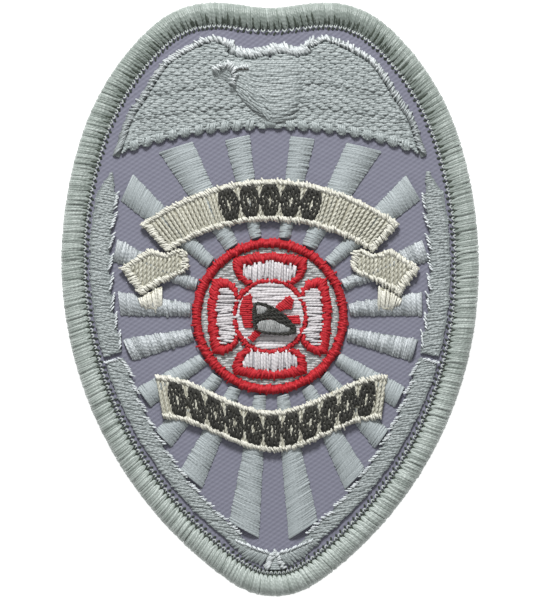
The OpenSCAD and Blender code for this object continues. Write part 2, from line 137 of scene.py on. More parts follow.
def turns(loop):
    """The sine of the turn at each point, above zero where the loop turns left."""
    before, after = steps_beside(loop)
    return cross(unit(before), unit(after))


def corner_angles(loop):
    before, after = steps_beside(loop)
    return np.abs(np.arctan2(cross(before, after), (before * after).sum(axis=1)))


def bulges(loop):
    """How far each point lies off the line between its neighbours."""
    chord = np.roll(loop, -1, axis=0) - np.roll(loop, 1, axis=0)
    return np.abs(cross(steps_beside(loop)[0], chord)) / norm(chord)


def rails(node, by_corners=False):
    """The two sides of a satin column, point against point.

    The outline is cut in half where the halves lie nearest to each other, or else at its sharpest corners.
    """
    loop = loops(node)[0]
    loop = loop[bulges(loop) > STRAIGHT]
    half = len(loop) // 2

    def pair(turn):
        turned = np.roll(loop, -turn, axis=0)
        return turned[:half], turned[half:2 * half][::-1]

    def bend(turn):
        angles = np.roll(corner_angles(loop), -turn)
        return angles[1:half - 1].sum() + angles[half + 1:2 * half - 1].sum()

    def spread(turn):
        return norm(np.subtract(*pair(turn))).sum()

    return pair(min(range(half), key=bend if by_corners else spread))


def heights(node):
    """The heights of a node's back and front."""
    low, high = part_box(node)
    return low[2] / MM, high[2] / MM


def surface(node):
    """A function that gives the height of a node's front at places on it."""
    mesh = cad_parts[node].data
    tree = BVHTree.FromPolygons([v.co / MM for v in mesh.vertices], [p.vertices for p in mesh.polygons])
    low, high = heights(node)

    def height(places):
        hits = [tree.ray_cast(Vector((x, y, high + 1)), Vector((0, 0, -1)))[0] for x, y in places]
        return np.array([low if hit is None else hit.z for hit in hits])

    return height


def raised(places, z):
    """Points in space, from level places and their heights."""
    return np.concatenate([places, np.broadcast_to(z, places.shape[:-1])[..., None]], axis=-1)


class Rim:
    """An outline as a smooth closed path of evenly spaced points."""

    def __init__(self, loop, blur, count=4096):
        closed = np.vstack([loop, loop[:1]])
        along = distances(closed)
        self.length = along[-1]
        self.count = count
        s = np.linspace(0, self.length, count, endpoint=False)
        path = np.interp(s, along, closed[:, 0]) + 1j * np.interp(s, along, closed[:, 1])
        wave = np.fft.fftfreq(count, 1 / count) * 2 * np.pi / self.length
        smooth = np.fft.fft(path) * np.exp(-0.5 * (wave * blur) ** 2)
        self.path = np.fft.ifft(smooth)
        tangent = np.fft.ifft(1j * wave * smooth)
        self.inward = 1j * tangent / np.abs(tangent)

    def place(self, s, inset):
        """Points at a distance along the rim, moved in by an inset."""
        spot = (s % self.length) / self.length * self.count
        low = np.floor(spot).astype(int) % self.count
        share = spot - np.floor(spot)
        high = (low + 1) % self.count
        point = self.path[low] * (1 - share) + self.path[high] * share
        point = point + inset * (self.inward[low] * (1 - share) + self.inward[high] * share)
        return np.stack([point.real, point.imag], axis=-1)


# Threads
class Skein:
    """Gathers threads and the padding under them into one mesh with a slot for each."""

    def __init__(self, edge=0.35):
        """edge is how far the shading turns away at a thread's edges: 1 if hard and round, 0 if flat."""
        self.points, self.normals, self.marks = [], [], []
        self.corners, self.totals, self.slots = [], [], []
        self.count = 0
        self.edge = edge

    def add(self, points, faces, marks, slot, normals=None):
        """faces is an array with a row for each face. Without normals the faces are shaded as they lie.

        marks hold the length along the thread, the share of the way round it and its tone.
        """
        self.points.append(points.reshape(-1, 3))
        unset = np.zeros((len(self.points[-1]), 3))
        self.normals.append(unset if normals is None else normals.reshape(-1, 3))
        self.marks.append(marks.reshape(-1, 3))
        self.corners.append((faces + self.count).ravel())
        self.totals.append(np.full(len(faces), faces.shape[1]))
        self.slots.append(np.full(len(faces), slot))
        self.count += len(self.points[-1])

    def sweep(self, paths, radius=THREAD, side=None, flat=0.68, ends=0.55, slot=0, tone=None):
        """Lays a closed thread along each path.

        side is the level direction across it, flat its thickness over its width, ends how much of its radius
        is left at its ends, and tone its place between the material's dark and light colour.
        """
        n, k, _ = paths.shape
        tangent = unit(np.gradient(paths, axis=1))
        if side is None:
            chord = paths[:, -1] - paths[:, 0]
            side = np.stack([-chord[:, 1], chord[:, 0], np.zeros(n)], axis=-1)[:, None]
        side = unit(side - tangent * (side * tangent).sum(axis=-1, keepdims=True))
        up = np.cross(tangent, side)
        angle = np.arange(SIDES) / SIDES * 2 * np.pi - np.pi / 2
        radius = np.broadcast_to(np.asarray(radius, float).reshape(-1, 1), (n, 1))
        taper = np.ones(k)
        taper[[0, -1]] = ends
        size = (radius * taper)[:, :, None, None]
        ring = side[:, :, None] * np.cos(angle)[:, None] + up[:, :, None] * np.sin(angle)[:, None] * flat
        points = paths[:, :, None] + ring * size
        along = distances(paths) + rng.random((n, 1)) * TWIST_START
        if tone is None:
            tone = rng.random(n)
        marks = np.empty((n, k, SIDES, 3))
        marks[..., 0] = along[:, :, None]
        marks[..., 1] = np.arange(SIDES) / SIDES
        marks[..., 2] = np.asarray(tone)[:, None, None]
        i, j = np.indices((k - 1, SIDES))
        a, b = i * SIDES + j, i * SIDES + (j + 1) % SIDES
        quads = np.stack([a, b, b + SIDES, a + SIDES], axis=-1).reshape(-1, 4)
        last = (k - 1) * SIDES
        caps = np.array([[3, 2, 1, 0], [5, 4, 3, 0], [last, last + 1, last + 2, last + 3],
                         [last, last + 3, last + 4, last + 5]])
        faces = np.vstack([quads, caps])
        faces = (faces[None] + np.arange(n)[:, None, None] * k * SIDES).reshape(-1, 4)
        lift = np.maximum(np.sin(angle), UNDERSIDE)[:, None]
        normals = unit(side[:, :, None] * np.cos(angle)[:, None] * self.edge + up[:, :, None] * lift)
        self.add(points, faces, marks, slot, normals)

    def pad(self, outlines, low, high, slot=1):
        """Fills closed outlines with a flat body from low to high."""
        curve = bpy.data.curves.new("pad", "CURVE")
        curve.dimensions = "2D"
        curve.fill_mode = "BOTH"
        curve.extrude = (high - low) / 2
        for outline in outlines:
            spline = curve.splines.new("POLY")
            spline.points.add(len(outline) - 1)
            # A spline's point is x, y, z and a weight
            spline.points.foreach_set("co", raised(raised(outline, 0), 1).ravel())
            spline.use_cyclic_u = True
        thing = add_object("pad", curve)
        depsgraph = bpy.context.evaluated_depsgraph_get()
        mesh = bpy.data.meshes.new_from_object(thing.evaluated_get(depsgraph))
        mesh.calc_loop_triangles()
        points = np.array([v.co for v in mesh.vertices]) + [0, 0, (low + high) / 2]
        faces = np.array([t.vertices for t in mesh.loop_triangles])
        bpy.data.objects.remove(thing)
        bpy.data.curves.remove(curve)
        bpy.data.meshes.remove(mesh)
        self.add_body(points, faces, slot)

    def core(self, node, drop, slot=1):
        """The node's own solid with its front lowered, as the body under the threads."""
        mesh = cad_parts[node].data
        mesh.calc_loop_triangles()
        points = np.array([v.co for v in mesh.vertices]) / MM
        low = points[:, 2].min()
        points[:, 2] = np.maximum(points[:, 2] - drop, low + LEAST_BODY * (points[:, 2] - low))
        faces = np.array([t.vertices for t in mesh.loop_triangles])
        self.add_body(points, faces, slot)

    def add_body(self, points, faces, slot):
        self.add(points, faces, np.full((len(points), 3), 0.5), slot)

    def build(self, node, materials, kind="stitches", name=None):
        """Makes the piece in the node's place, named after the node and the kind if it has no name."""
        name = name or f"{node}_{kind}"
        mesh = bpy.data.meshes.new(name)
        gathered = (self.corners, self.totals, self.slots)
        corners, totals, slots = (np.concatenate(parts) for parts in gathered)
        mesh.vertices.add(self.count)
        mesh.vertices.foreach_set("co", np.concatenate(self.points).ravel() * MM)
        mesh.loops.add(len(corners))
        mesh.loops.foreach_set("vertex_index", corners)
        mesh.polygons.add(len(totals))
        mesh.polygons.foreach_set("loop_start", np.cumsum(totals) - totals)
        mesh.polygons.foreach_set("material_index", slots)
        mesh.polygons.foreach_set("use_smooth", slots == 0)
        marks = mesh.attributes.new("thread", "FLOAT_VECTOR", "POINT")
        marks.data.foreach_set("vector", np.concatenate(self.marks).ravel())
        mesh.update(calc_edges=True)
        mesh.normals_split_custom_set_from_vertices(np.concatenate(self.normals))
        for material in materials:
            mesh.materials.append(material)
        piece = add_object(name, mesh)
        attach(piece, "root")
        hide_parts(node)
        return piece


def arch(steps, roundness):
    """Shares of the way along a thread, closer together at its ends, and the share of its rise at each."""
    t = (1 - np.cos(np.linspace(0, np.pi, steps))) / 2
    return t, 1 - np.abs(2 * t - 1) ** roundness


def arches(start, end, base, rise, steps=9, roundness=2.3):
    """Paths from start to end that rise over what lies between."""
    t, swell = arch(steps, roundness)
    places = start[:, None] + (end - start)[:, None] * t[:, None]
    return raised(places, np.reshape(base, (-1, 1)) + np.reshape(rise, (-1, 1)) * swell)


def along_rails(pair):
    """The distance along two rails, halfway between them, at each of their points."""
    return sum(distances(rail) for rail in pair) / 2


def on_rails(pair, s):
    """Points on both rails at shares of the way along them."""
    along = along_rails(pair)
    where = np.clip(s, 0, 1) * along[-1]
    return [np.stack([np.interp(where, along, rail[:, i]) for i in (0, 1)], axis=-1) for rail in pair]


def satin(skein, pair, base, rise, pitch=0.29, slant=0.0, reach=0.02, fuzz=0.11, radius=THREAD, steps=9,
          roundness=2.3, slot=0, sway=0.07, tone=None, flat=0.65, uneven=0.02, varied=0.06):
    """Threads side by side across a column, from rail to rail. tone is a function of the shares along it.

    slant is how far a thread's start lies ahead of its end, and sway how far both stray along the rails.
    reach and fuzz are how far they lie past the rails and how much that varies. uneven is how far threads
    lie above or below each other, and varied how much their rise and radius vary.
    """
    length = along_rails(pair)[-1]
    count = max(2, round(length / pitch))
    s = (np.arange(count) + 0.5 + jitter(0.1, count)) / count
    start = on_rails(pair, s + (slant / 2 + jitter(sway, count)) / length)[0]
    end = on_rails(pair, s - (slant / 2 + jitter(sway, count)) / length)[1]
    way = unit(end - start)
    start = start - way * (reach + jitter(fuzz, count, 1))
    end = end + way * (reach + jitter(fuzz, count, 1))
    rises = rise * (1 + jitter(varied / 2, count))
    paths = arches(start, end, base, rises, steps, roundness)
    paths[..., 2] += jitter(uneven, count, 1)
    skein.sweep(paths, radius * (1 + jitter(varied, count)), slot=slot, ends=0.4, flat=flat,
                tone=None if tone is None else tone(s))


def turned(points, angle):
    """Level points turned about the origin."""
    c, s = math.cos(angle), math.sin(angle)
    return points @ np.array([[c, s], [-s, c]])


def runs(outlines, pitch, shift=0.5):
    """Level rows inside closed outlines: row number, height, left end and right end of each run."""
    starts = np.vstack(outlines)
    ends = np.vstack([np.roll(o, -1, axis=0) for o in outlines])
    low, high = starts[:, 1].min(), starts[:, 1].max()
    found = []
    for row in range(int((high - low) / pitch) + 1):
        y = low + (row + shift) * pitch
        crossing = (starts[:, 1] > y) != (ends[:, 1] > y)
        a, b = starts[crossing], ends[crossing]
        xs = np.sort(a[:, 0] + (y - a[:, 1]) / (b[:, 1] - a[:, 1]) * (b[:, 0] - a[:, 0]))
        found += [(row, y, xs[i], xs[i + 1]) for i in range(0, len(xs) - 1, 2)]
    return found


def tatami(skein, outlines, height, angle=0.0, pitch=0.36, length=3, dip=0.16, stagger=0.37, group=1,
           reach=0.05, fuzz=0.05, radius=THREAD, steps=6, unbend=None, pinch=0.0, roundness=2.6, fall=None,
           flat=0.5, sway=0.03):
    """Rows of short threads that fill outlines. Rows of one group are cut at the same places.

    height is a number or a function of places. stagger is the share of a thread's length by which each group
    is cut further on, and pinch how far the rows of a group come together at a cut. dip is how deep a thread
    goes down where it is cut, and fall how deep at the outline. reach and fuzz are how far it lies past the
    outline and how much that varies, and sway how far its ends stray from its row. unbend is a function that
    moves places from straight rows to bent ones.
    """
    pieces = []
    for row, y, left, right in runs([turned(o, -angle) for o in outlines], pitch):
        if right - left < radius:
            continue
        shift = ((row // group) * stagger % 1) * length + jitter(0.06) * length
        cuts = np.arange(math.floor((left - shift) / length), math.ceil((right - shift) / length) + 1)
        cuts = cuts * length + shift
        margin = 0.3 * length
        cuts = cuts[(cuts > left + margin) & (cuts < right - margin)]
        ends = [left - reach - jitter(fuzz), *cuts, right + reach + jitter(fuzz)]
        toward = (0.5 - (row % group + 0.5) / group) * pitch * group
        depths = [fall or dip] + [dip] * len(cuts) + [fall or dip]
        pieces += list(zip(ends, ends[1:], [y] * len(ends), [toward] * len(ends), depths, depths[1:]))
    a, b, y, toward, first, last = np.array(pieces).T
    t, swell = arch(steps, roundness)
    x = a[:, None] + (b - a)[:, None] * t
    rows = y[:, None] + pinch * toward[:, None] * (1 - swell)
    stray = jitter(sway, 2, len(a), 1)
    rows = rows + stray[0] * (1 - t) + stray[1] * t
    places = turned(np.stack([x, rows], axis=-1).reshape(-1, 2), angle)
    if unbend:
        places = unbend(places)
    top = height(places) if callable(height) else np.full(len(places), height)
    depth = np.where(t < 0.5, first[:, None], last[:, None])
    z = top.reshape(x.shape) - radius * 0.4 - depth * (1 - swell) + jitter(0.015, len(a), 1)
    paths = raised(places.reshape(*x.shape, 2), z)
    skein.sweep(paths, radius * (1 + jitter(0.07, len(a))), ends=0.6, flat=flat)


# Pieces of one kind of stitching
def on_core(node, drop, edge=0.35):
    """A skein that holds a node's own body lowered by drop, and the heights of the node's back and front."""
    skein = Skein(edge)
    skein.core(node, drop)
    return skein, *heights(node)


def satin_piece(node, materials, drop, rise=0.0, base=0.0, pair=None, **options):
    """A node as one satin column. Its top lies rise over the node's front, its ends base over the back."""
    skein, low, high = on_core(node, drop)
    satin(skein, pair or rails(node), low + base, high - low + rise, **options)
    skein.build(node, materials, "satin")


def fill_piece(node, materials, angle, kind="stitches", rise=0.0, drop=0.06, **options):
    """A node as rows of short threads, with their top rise over the node's front."""
    skein, _, high = on_core(node, drop)
    tatami(skein, loops(node), high + rise, angle=angle, **options)
    skein.build(node, materials, kind)


# Materials
def linear(rgb):
    """A colour from 0 to 255 as the shares of light that a shader takes."""
    return [((c / 255 + 0.055) / 1.055) ** 2.4 if c > 10 else c / 255 / 12.92 for c in rgb]


class Graph:
    """A material's nodes, made and linked by short calls."""

    def __init__(self, name, **sockets):
        self.material = bpy.data.materials.new(name)
        self.material.use_nodes = True
        self.tree = self.material.node_tree
        self.shader = self.tree.nodes["Principled BSDF"]
        for socket, value in sockets.items():
            self.shader.inputs[socket.replace("_", " ")].default_value = value

    def make(self, kind, links=(), **settings):
        node = self.tree.nodes.new(kind)
        for key, value in settings.items():
            setattr(node, key, value)
        for socket, value in dict(links).items():
            if isinstance(value, bpy.types.NodeSocket):
                self.tree.links.new(value, node.inputs[socket])
            else:
                node.inputs[socket].default_value = value
        return node

    def math(self, operation, *values):
        return self.make("ShaderNodeMath", dict(enumerate(values)), operation=operation).outputs[0]

    def weigh(self, a, weight_a, b, weight_b):
        """The sum of two values, each times its weight."""
        return self.math("ADD", self.math("MULTIPLY", a, weight_a), self.math("MULTIPLY", b, weight_b))

    def wave(self, phase):
        """A sine wave between 0 and 1."""
        return self.math("MULTIPLY_ADD", self.math("SINE", phase), 0.5, 0.5)

    def places(self):
        return self.make("ShaderNodeTexCoord").outputs["Object"]

    def noise(self, place, scale, detail=2.0, roughness=0.5):
        return self.make("ShaderNodeTexNoise", {"Vector": place, "Scale": scale, "Detail": detail,
                                                "Roughness": roughness}).outputs[0]

    def mix(self, share, a, b, kind):
        links = {0: share, 6: a, 7: b}
        return self.make("ShaderNodeMix", links, data_type="RGBA", blend_type=kind).outputs[2]

    def blend(self, share, low, high):
        return self.mix(share, (*low, 1), (*high, 1), "MIX")

    def finish(self, colour, height, distance):
        bump = self.make("ShaderNodeBump", {"Height": height, "Distance": distance, "Strength": 1.0})
        self.tree.links.new(bump.outputs[0], self.shader.inputs["Normal"])
        self.tree.links.new(colour, self.shader.inputs["Base Color"])
        return self.material


# The length of one turn of a thread's plies, and how dark the shade between them is
PLY_PITCH = 0.62
PLY_SHADE = 0.16
# The share of a thread's colour that comes from its tone. The rest is cloudy noise
TONE_SHARE = 0.55


def thread_material(name, dark, light, roughness=0.42, sheen=0.35, ply=0.6):
    """Twisted thread. dark and light are the ends of its range of colour."""
    g = Graph(f"{name}_thread", Roughness=roughness, Sheen_Weight=sheen, Sheen_Roughness=0.4, IOR=1.5)
    marks = g.make("ShaderNodeAttribute", attribute_name="thread").outputs["Vector"]
    along, round_it, tone = list(g.make("ShaderNodeSeparateXYZ", {0: marks}).outputs)
    place = g.places()
    turns_made = g.math("ADD", g.math("DIVIDE", along, PLY_PITCH), round_it)
    twist = g.wave(g.math("MULTIPLY", turns_made, 2 * math.pi))
    fuzz = g.noise(place, scale=5200.0, detail=3.0, roughness=0.65)
    cloud = g.noise(place, scale=900.0)
    share = g.weigh(tone, TONE_SHARE, cloud, 1 - TONE_SHARE)
    colour = g.blend(share, linear(dark), linear(light))
    depth = PLY_SHADE * ply
    shade = g.math("MULTIPLY_ADD", twist, depth, 1 - depth)
    shade = g.math("MULTIPLY", shade, g.math("MULTIPLY_ADD", fuzz, 0.5, 0.77))
    grey = g.make("ShaderNodeCombineColor", {0: shade, 1: shade, 2: shade}).outputs[0]
    return g.finish(g.mix(1.0, colour, grey, "MULTIPLY"), g.weigh(twist, ply, fuzz, 0.7), 0.05 * MM)


def shaded_padding_material(name, colour):
    """The dark padding deep under a stitch, its colour darkened by half in places as painted shade between
    the threads.
    """
    g = Graph(f"deep_{name}", Roughness=0.9)
    place = g.places()
    fuzz = g.noise(place, scale=3000.0, detail=3.0)
    shadow = [c * 0.5 for c in linear(colour)]
    return g.finish(g.blend(fuzz, shadow, linear(colour)), fuzz, 0.1 * MM)


# The twill's ridges: how far apart they lie, and how steeply they rise to the right
TWILL_PITCH = 0.58 * MM
TWILL_SLOPE = math.radians(36)


def twill_material(name, dark, light):
    """Fine diagonal weave."""
    g = Graph(name, Roughness=0.75, Sheen_Weight=0.3, Sheen_Roughness=0.5)
    place = g.places()
    wander = g.noise(place, scale=700.0)
    axis = g.make("ShaderNodeSeparateXYZ", {0: place}).outputs
    c, s = math.cos(TWILL_SLOPE), math.sin(TWILL_SLOPE)
    across = g.weigh(axis[0], -s, axis[1], c)
    along = g.weigh(axis[0], c, axis[1], s)
    turn = 2 * math.pi / TWILL_PITCH
    ridge = g.wave(g.weigh(across, turn, wander, 1.6))
    knots = g.wave(g.weigh(along, turn * 0.8, across, turn * 0.5))
    fuzz = g.noise(place, scale=6000.0, detail=3.0, roughness=0.6)
    height = g.math("ADD", g.math("MULTIPLY_ADD", knots, 0.4, ridge), g.math("MULTIPLY", fuzz, 0.5))
    share = g.weigh(height, 0.33, wander, 0.25)
    return g.finish(g.blend(share, linear(dark), linear(light)), height, 0.022 * MM)


def floor_material():
    g = Graph("pale_floor", Roughness=0.7, Emission_Color=(1, 1, 1, 1), Emission_Strength=0.82)
    place = g.places()
    grain = g.noise(place, scale=900.0)
    return g.finish(g.blend(grain, (0.5, 0.5, 0.5), (0.52, 0.52, 0.52)), grain, 0.01 * MM)


# The paddings under the stitches: painted shade where they show between the threads
deep = shaded_padding_material("thread", (138, 146, 146))
shaded_border_padding = shaded_padding_material("border", (128, 140, 130))
painted_brow_shadow = shaded_padding_material("brow", (104, 98, 88))
painted_gap_shade = shaded_padding_material("green", (58, 68, 56))
painted_wedge_shade = shaded_padding_material("olive", (78, 88, 78))
shaded_cream_padding = shaded_padding_material("cream", (200, 197, 178))
shaded_red_padding = shaded_padding_material("red", (176, 10, 26))
shaded_black_padding = shaded_padding_material("black", (28, 28, 25))
shaded_white_padding = shaded_padding_material("white", (190, 187, 192))
shaded_field_padding = shaded_padding_material("field", (144, 147, 147))
border_thread = thread_material("border", (108, 119, 112), (178, 187, 182), ply=0.5)
purl_thread = thread_material("purl", (162, 170, 166), (192, 199, 195), ply=0.3)
silver = thread_material("silver", (136, 145, 145), (166, 174, 174))
laurel_thread = thread_material("laurel", (130, 138, 138), (160, 168, 168))
ray_thread = thread_material("ray", (142, 150, 152), (164, 172, 174), roughness=0.62, sheen=0.2, ply=0.35)
level_ray_thread = thread_material("level_ray", (116, 123, 126), (200, 206, 209), ply=0.9)
bright = thread_material("bright", (165, 172, 173), (215, 220, 221))
edge_thread = thread_material("edge", (140, 148, 149), (215, 220, 221))
fleck = thread_material("fleck", (184, 192, 194), (224, 229, 231))
cream = thread_material("cream", (158, 157, 142), (208, 207, 193))
edge_cream = thread_material("edge_cream", (188, 187, 174), (226, 225, 214))
black = thread_material("black", (20, 20, 17), (48, 48, 41), roughness=0.7, sheen=0.12)
grey = thread_material("grey", (124, 126, 125), (164, 166, 165))
field_thread = thread_material("field", (150, 153, 153), (188, 191, 189))
red = thread_material("red", (160, 9, 24), (192, 18, 36), roughness=0.7, sheen=0.12, ply=0.4)
white = thread_material("white", (178, 173, 175), (222, 218, 220), roughness=0.6, sheen=0.2)
twill = twill_material("twill_weave", (103, 103, 119), (131, 132, 147))


# Cloth
CLOTH_POINTS = 360


def make_cloth():
    rim = Rim(loops("twill_ground")[0], blur=0.5)
    edge = rim.place(np.linspace(0, rim.length, CLOTH_POINTS, endpoint=False), 0)
    skein = Skein()
    skein.pad([edge], *heights("twill_ground"), slot=0)
    piece = skein.build("twill_ground", [twill], name="twill_cloth")


# Border
BORDER_WIDTH = 3.7
# A stitch's course over the border, from its inner edge round to the back. Columns: share of the border's
# width in from the outline, share of its height, share of the pull to the bundle's hole, and what is added
# to the first column at the foot of the badge
BORDER_SECTION = np.array([
    (1.0, 0.54, 1, -0.1), (0.95, 0.65, 0.95, -0.09), (0.87, 0.75, 0.62, -0.06), (0.76, 0.84, 0.25, -0.03),
    (0.62, 0.915, 0, 0), (0.48, 0.96, 0, 0), (0.35, 0.95, 0, 0), (0.23, 0.875, 0, 0), (0.12, 0.73, 0, 0),
    (0.05, 0.54, 0, 0), (0.06, 0.36, 0, 0), (0.17, 0.18, 0, 0), (0.4, 0.075, 0, 0), (0.88, 0.1, 1, 0),
])
# The rows of it on the front, the row on its crest, and the share of its height where its side starts
FRONT_ROWS = 8
CREST_ROW = 4
SIDE_SHARE = 0.3
# What the section's last column adds grows from the middle of the badge down to here
FOOT = -15
# The body under the stitches. Columns: share of the border's width in from the outline, share of its height
CORE_SECTION = np.array([
    (0.985, 0.5), (0.9, 0.65), (0.78, 0.76), (0.62, 0.87), (0.47, 0.925), (0.33, 0.9), (0.21, 0.8),
    (0.12, 0.64), (0.1, 0.45), (0.2, 0.25), (0.5, 0.13), (0.85, 0.15), (0.9, 0.3),
])
CORE_STATIONS = 320
# How many bands of that body are dark with painted shade, from the inner edge on
SHADED_BANDS = 2
# One purl loop. Columns, in millimetres: along the rim, in from the outline, over the cloth
PURL = np.array([(-0.26, 3.42, 0.24), (-0.24, 3.6, 0.28), (-0.1, 3.75, 0.28), (0.08, 3.77, 0.26),
                 (0.2, 3.62, 0.22), (0.2, 3.42, 0.2)])
# The dark thread of painted shadow between two loops, in the same columns
GAP_SHADOW = np.array([(-0.12, 3.72, 0.03), (-0.04, 3.88, 0.07), (0.06, 4.04, 0.07), (0.12, 4.16, 0.03)])
# Painted shade: the thread is darker at the head of the badge. Columns: millimetres up the badge, tone from
# 0 to 1
PAINTED_BORDER_SHADE = np.array([(-44, 0.9), (-25, 0.8), (-5, 0.6), (20, 0.5), (30, 0.15), (38, 0)])
# The dark wedges of painted shade between the bundles. Columns: millimetres up the badge, length over the
# border's width
WEDGES = np.array([(-44, 0.12), (-10, 0.14), (15, 0.2), (30, 0.4), (38, 0.6)])
# The three threads of one wedge: shares of that length, radii, and where on the border's width they start
WEDGE_LENGTHS = (1.0, 0.6, 0.6)
WEDGE_RADII = (0.18, 0.1, 0.1)
WEDGE_START = 0.97
BUNDLE_PITCH = 0.936
STRANDS = 3
# The strands of a bundle lie this share of its pitch apart in its hole
HELD_PITCH = 0.05
# How far back along the rim a stitch's inner edge lies from its outer one
LEAN = 0.5
# The border's material slots
STRAND, BODY, LOOP, PAINTED_SHADE, SHADE_WEDGE = range(5)


def border_strands(skein, rim, high, bundles, pitch):
    """The stitches round the edge, drawn together in bundles at their inner ends."""
    bundle, strand = np.indices((bundles, STRANDS)).reshape(2, -1)
    count = len(bundle)
    share, up, pull, foot_share = BORDER_SECTION.T
    free = (bundle + (strand + 0.5) / STRANDS) * pitch + jitter(0.04, count)
    held = (bundle + 0.5 + (strand - 1) * HELD_PITCH) * pitch + jitter(0.02, count)
    foot = np.clip(rim.place(free, 0)[:, 1] / FOOT, 0, 1)[:, None]
    inset = (share + foot * foot_share) * BORDER_WIDTH
    inset = inset + jitter(0.03, count, 1) * (1 - pull)
    s = free[:, None] * (1 - pull) + held[:, None] * pull - LEAN * (share - 0.5)
    places = rim.place(s, inset)
    z = up * high + jitter(0.045, count, 1) * (up > SIDE_SHARE)
    ahead = rim.place(s + 0.1, inset) - places
    # Painted shade, darker towards the head of the badge
    tone = np.interp(places[:, CREST_ROW, 1], PAINTED_BORDER_SHADE[:, 0], PAINTED_BORDER_SHADE[:, 1])
    tone = np.clip(tone + jitter(0.3, count), 0, 1)
    skein.sweep(raised(places, z), 0.21, side=raised(ahead, 0), flat=0.5, tone=tone, slot=STRAND)


def border_body(skein, rim, high):
    """The body under the stitches, with painted shade at its inner edge."""
    share, up = CORE_SECTION.T
    s = np.linspace(0, rim.length, CORE_STATIONS, endpoint=False)
    body = raised(rim.place(s[:, None], share * BORDER_WIDTH), up * high)
    m = len(CORE_SECTION)
    i, j = np.indices((CORE_STATIONS, m))
    here, there = i * m, (i + 1) % CORE_STATIONS * m
    faces = np.stack([here + j, here + (j + 1) % m, there + (j + 1) % m, there + j], axis=-1)
    body = body.reshape(-1, 3)
    # The bands at the inner edge carry painted shade
    skein.add_body(body, faces[:, :SHADED_BANDS].reshape(-1, 4), PAINTED_SHADE)
    skein.add_body(body, faces[:, SHADED_BANDS:].reshape(-1, 4), BODY)


def rim_threads(rim, shape, middles, stray):
    """A small thread at each of the middles, with a table's shape."""
    s = middles[:, None] + shape[:, 0] + jitter(stray, len(middles), 1)
    places = rim.place(s, shape[:, 1] + jitter(stray, len(middles), 1))
    return raised(places, CLOTH_TOP + shape[:, 2])


def border_shade_wedges(skein, rim, high, bundles, pitch):
    """Dark tapered threads of painted shade that lie on the border between two bundles."""
    count = len(WEDGE_LENGTHS) * bundles
    middle = (np.arange(count) / len(WEDGE_LENGTHS) + 1.0) * pitch + jitter(0.03, count)
    length = np.interp(rim.place(middle, 0)[:, 1], WEDGES[:, 0], WEDGES[:, 1])
    length = length * np.tile(WEDGE_LENGTHS, bundles) * rng.uniform(0.6, 1.2, count)
    share = WEDGE_START - length[:, None] * np.linspace(0, 1, 4)
    front = BORDER_SECTION[:FRONT_ROWS][::-1]
    z = np.interp(share, front[:, 0], front[:, 1]) * high + 0.06
    places = rim.place(middle[:, None] - LEAN * (share - 0.5), share * BORDER_WIDTH)
    skein.sweep(raised(places, z), np.tile(WEDGE_RADII, bundles), flat=0.4, ends=0.15, slot=SHADE_WEDGE)


def make_border():
    rim = Rim(loops("merrow_border")[0], blur=0.9)
    high = heights("merrow_border")[1]
    bundles = round(rim.length / BUNDLE_PITCH)
    pitch = rim.length / bundles
    skein = Skein()
    border_strands(skein, rim, high, bundles, pitch)
    border_body(skein, rim, high)
    purl = rim_threads(rim, PURL, (np.arange(bundles) + 0.5) * pitch, 0.03)
    across = np.cross([0, 0, 1.0], np.gradient(purl, axis=1))
    skein.sweep(purl, 0.095, side=across, slot=LOOP)
    border_shade_wedges(skein, rim, high, bundles, pitch)
    # Dark threads of painted shadow between the loops
    gap_shadows = rim_threads(rim, GAP_SHADOW, (np.arange(bundles) + 1.0) * pitch, 0.05)
    skein.sweep(gap_shadows, 0.17, flat=0.5, slot=PAINTED_SHADE)
    materials = [border_thread, shaded_border_padding, purl_thread, painted_gap_shade, painted_wedge_shade]
    skein.build("merrow_border", materials, name="border_stitches")


# Rays
RAY_CENTRE = np.array([0, -2.7])
RAY_STITCH = dict(drop=0.04, base=0.04, rise=0.25, pitch=0.185, slant=0.3, roundness=2.0, steps=11,
                  flat=0.3, radius=0.18)
# Rays that go up or down by less than this share of their way across catch the light more, and look rougher
LEVEL = 0.6
ROUGH = dict(sway=0.04, uneven=0.008, varied=0.04, fuzz=0.1)
SMOOTH = dict(sway=0.02, uneven=0.002, varied=0.02, fuzz=0.06)


def make_rays():
    for side in ("left", "right"):
        for i in range(1, 11):
            node = f"ray_{side}_{i:02d}"
            x, y = loops(node)[0].mean(axis=0) - RAY_CENTRE
            level = abs(y) < LEVEL * abs(x)
            thread = level_ray_thread if level else ray_thread
            satin_piece(node, [thread, deep], **RAY_STITCH, **(ROUGH if level else SMOOTH))


# Wings
WING_FILL = dict(pitch=0.29, length=1.62, dip=0.16, stagger=0.5, group=2, pinch=0.5, radius=0.2, steps=7,
                 roundness=2.4, flat=0.32, sway=0.05)
# The feather tip where the wings meet: where its outer threads start, and how long they are
MIDDLE_TIP = np.array([(-0.6, 27.0), (0.7, 27.0)])
TIP_LENGTH = 1.5
# The notches between feather tips turn right at least this sharply, and lie up to so many points apart
NOTCH_TURN = -0.3
TIP_POINTS = range(2, 7)
# How near to the badge's middle line the last notch lies
MIDDLE_REACH = 0.4


